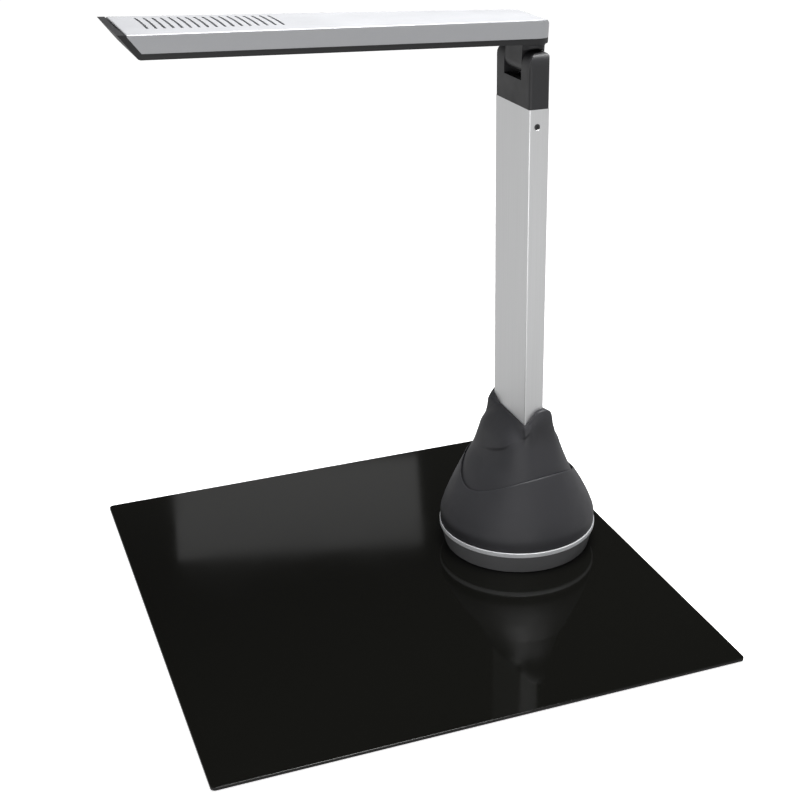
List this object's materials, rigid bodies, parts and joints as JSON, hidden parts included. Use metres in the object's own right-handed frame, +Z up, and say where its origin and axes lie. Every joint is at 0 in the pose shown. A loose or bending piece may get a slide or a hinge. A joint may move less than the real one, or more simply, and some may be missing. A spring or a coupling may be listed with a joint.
{
  "type": "document camera",
  "caption": "Desktop document camera: flat glossy board, flared conical base, flat column and a folding camera arm that reaches over the board.",
  "frame": {"origin": "under the column's axis, on the surface that the board's pads rest on", "axes": "+Z up along the column; the arm reaches along -X over the board; the hinge turns about Y"},
  "size_m": [0.545, 0.564, 0.6197],
  "materials": {
    "board_black": "high gloss",
    "pad_rubber": "matte",
    "screw_steel": "plain",
    "dark_screw": "blackened",
    "plate_steel": "satin paint",
    "weight_iron": "plain",
    "socket_alloy": "plain",
    "band_grey": "matte",
    "ring_silver": "satin metallic paint",
    "base_grey": "fine matte",
    "pcb_green": "solder mask",
    "standoff_brass": "plain",
    "socket_steel": "plain",
    "column_alloy": "finely brushed along its length",
    "hinge_grey": "fine matte",
    "shaft_steel": "plain",
    "washer_grey": "matte",
    "bush_bronze": "plain",
    "arm_silver": "satin metallic paint",
    "arm_dark": "fine matte",
    "frame_alloy": "plain",
    "sensor_black": "gloss",
    "lens_black": "matte",
    "lens_glass": "coated",
    "window_clear": "polished",
    "diffuser_white": "frosted",
    "led_yellow": "gloss",
    "button_grey": "satin",
    "cable_black": "matte",
    "ribbon_grey": "satin"
  },
  "bodies": {
    "base": {"document_board": "board_black", "board_pads": "pad_rubber", "board_screws": "screw_steel", "base_plate": "plate_steel", "counterweight": "weight_iron", "weight_screws": "screw_steel", "column_socket": "socket_alloy", "socket_screws": "screw_steel", "clamp_screws": "screw_steel", "foot_band": "band_grey", "trim_ring": "ring_silver", "lower_skirt": "base_grey", "skirt_screws": "screw_steel", "upper_collar": "base_grey", "control_pcb": "pcb_green", "pcb_standoffs": "standoff_brass", "pcb_screws": "screw_steel", "usb_socket": "socket_steel", "column_tube": "column_alloy", "hinge_fork": "hinge_grey", "near_ear_cover": "hinge_grey", "far_ear_cover": "hinge_grey", "column_top_screws": "dark_screw", "hinge_shaft": "shaft_steel", "hinge_nut": "shaft_steel", "friction_washers": "washer_grey", "column_cable": "cable_black"},
    "arm": {"hinge_neck": "hinge_grey", "hinge_bushes": "bush_bronze", "arm_top_shell": "arm_silver", "arm_bottom_shell": "arm_dark", "shell_screws": "dark_screw", "arm_frame": "frame_alloy", "neck_screws": "screw_steel", "camera_pcb": "pcb_green", "camera_screws": "screw_steel", "image_sensor": "sensor_black", "lens_holder": "lens_black", "lens_barrel": "lens_black", "lens_glass": "lens_glass", "lens_window": "window_clear", "lens_bezel": "lens_black", "led_windows": "diffuser_white", "led_boards": "pcb_green", "leds": "led_yellow", "button_switch": "pcb_green", "arm_cable": "ribbon_grey"},
    "light_button": {"light_button": "button_grey"}
  },
  "joints": [
    {"name": "arm_tilt", "type": "hinge", "parent": "base", "child": "arm", "pos_m": [0, 0, 0.5535], "axis": [0, 1, 0], "range_deg": [-91, 0]},
    {"name": "light_button_press", "type": "slide", "parent": "arm", "child": "light_button", "axis": [0.0523, 0, 0.9986], "range_m": [0, 0.0008], "stiffness_N_per_m": 800}
  ]
}
